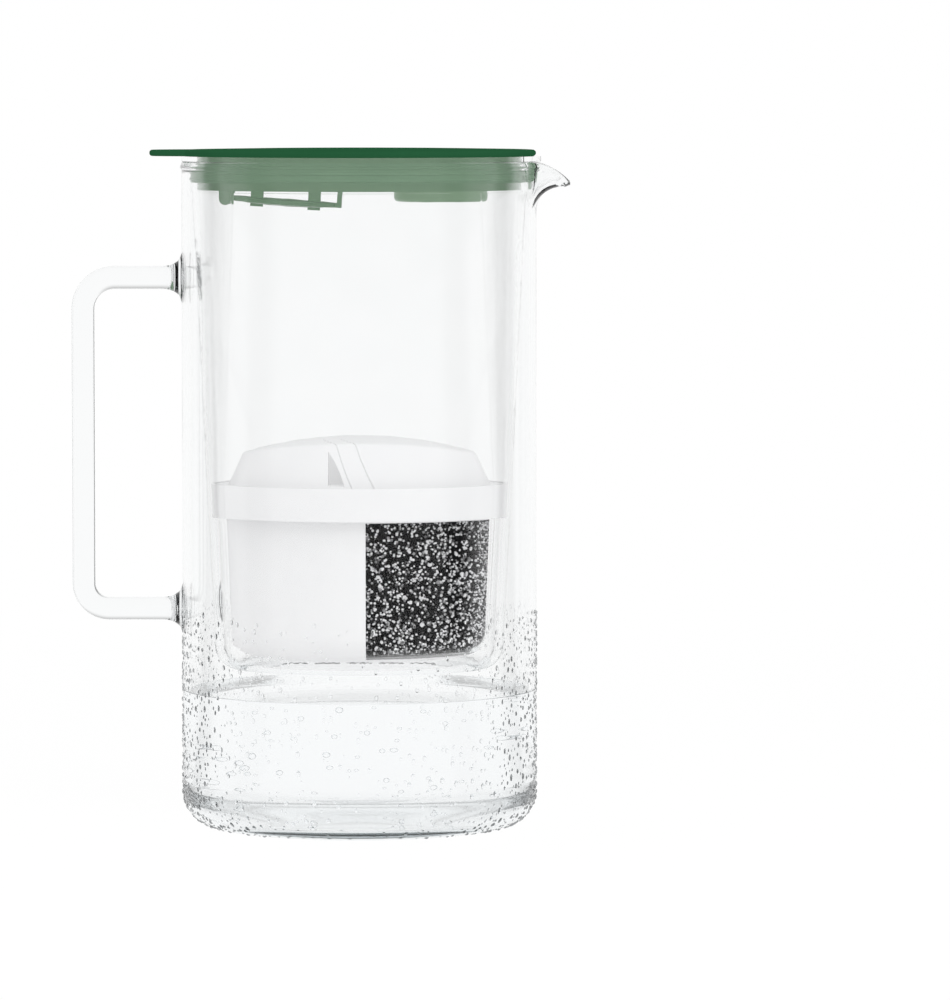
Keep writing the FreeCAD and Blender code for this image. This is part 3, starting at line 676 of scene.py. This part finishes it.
# Light passes the clear pieces to what is inside them
for piece in (glassJug, filteredWater, waterDrops, nodes["hopper"], nodes["cartridge_window"]):
    piece.visible_diffuse = False
    piece.visible_shadow = False
for name in ("cartridge_cap", "lid_plate", "lid_plug", "hopper_seal", "refill_flap", "indicator_housing"):
    nodes[name].visible_diffuse = False  # thin plastics let soft light through

# Floor and light: clear pieces see white all round, with four dark strips that draw their edges
stage = {
    "floorSize": 30.0, "floorCells": 4, "floorDrop": 0.0002, "floorWhite": 0.97,
    "shadowShare": 0.1, "shadowReach": (0.35, 0.9),
    "ambient": 0.92, "strip": 0.12, "stripStart": (0.68, 0.78), "stripEnd": (0.92, 0.97),
    "zenith": 0.5, "zenithEdge": (0.35, 0.9), "cardEdge": (0.08, 0.25),
}


def cardTone(finish, x, y):  # brightness of the cards by their bearing from the object
    aside = x * x * (x * x + y * y) ** -1.0
    strip = finish.ease(aside, stage["stripStart"]) * (1 - finish.ease(aside, stage["stripEnd"]))
    return 1 - strip * (1 - stage["strip"])


def rayKinds(finish):
    kinds = ("Is Camera Ray", "Is Glossy Ray", "Is Transmission Ray")
    camera, glossy, through = [finish.node("ShaderNodeLightPath", output=kind) for kind in kinds]
    return camera, glossy.most(through)


def floorFinish():
    finish = newFinish("floorWhite")
    x, y, _ = finish.axes(finish.place())
    away = (x * x + y * y) ** 0.5
    card = 1 - finish.ease(away, stage["cardEdge"]) * (1 - cardTone(finish, x, y))
    camera, clear = rayKinds(finish)
    tone = camera + (1 - camera) * card
    plain = finish.node("ShaderNodeBsdfDiffuse", {}, {"Color": (stage["floorWhite"],) * 3 + (1,)})
    glow = finish.node("ShaderNodeEmission", {}, {"Color": tone, "Strength": 1.0})
    shaded = (1 - finish.ease(away, stage["shadowReach"])) * stage["shadowShare"]
    shader = finish.node("ShaderNodeMixShader", {}, {0: camera.most(clear) * (1 - shaded), 1: plain, 2: glow})
    finish.node("ShaderNodeOutputMaterial", {}, {"Surface": shader})
    return finish.owner


floorForm = bmesh.new()
bmesh.ops.create_grid(floorForm, x_segments=stage["floorCells"], y_segments=stage["floorCells"],
                      size=stage["floorSize"], matrix=Matrix.Translation((0, 0, -stage["floorDrop"])))
floor = newPiece("floor", floorForm, floorFinish(), None)


def skyLight():
    world = bpy.data.worlds.new("studioSky")
    scene.world = world
    finish = Finish(world)
    x, y, z = finish.axes(finish.node("ShaderNodeTexCoord", output="Generated"))
    up = finish.ease(z, stage["zenithEdge"])
    glow = cardTone(finish, x, y) * (1 - up) + up * stage["zenith"]
    camera, clear = rayKinds(finish)
    tone = camera + (1 - camera) * (clear * glow + (1 - clear) * stage["ambient"])
    shader = finish.node("ShaderNodeBackground", {}, {"Color": tone, "Strength": 1.0})
    finish.node("ShaderNodeOutputWorld", {}, {"Surface": shader})


def aimed(setup):
    return (Vector(setup["target"]) - Vector(setup["place"])).to_track_quat("-Z", "Y").to_euler()


def softLamp(name, setup):
    data = bpy.data.lights.new(name, "AREA")
    data.size = setup["size"]
    data.energy = setup["watts"]
    lamp = bpy.data.objects.new(name, data)
    lamp.location = setup["place"]
    lamp.rotation_euler = aimed(setup)
    scene.collection.objects.link(lamp)
    lamp.visible_camera = False
    lamp.visible_glossy = False
    lamp.visible_transmission = False


keyLamp = {"place": (0.3, -1.0, 1.3), "target": (0, 0, 0.12), "size": 1.2, "watts": 6.0}
skyLight()
softLamp("keyLamp", keyLamp)

# Camera where the photograph was taken from
lens = {"place": (0.0405, -2.2, 0.260), "target": (0.0405, 0.0, 0.114), "focal": 226.5}
cameraData = bpy.data.cameras.new("camera")
cameraData.lens = lens["focal"]
camera = bpy.data.objects.new("camera", cameraData)
camera.location = lens["place"]
camera.rotation_euler = aimed(lens)
scene.collection.objects.link(camera)
scene.camera = camera
scene.view_settings.view_transform = "Standard"
scene.cycles.max_bounces = 32
scene.cycles.transmission_bounces = 32
scene.cycles.glossy_bounces = 12
scene.cycles.diffuse_bounces = 4
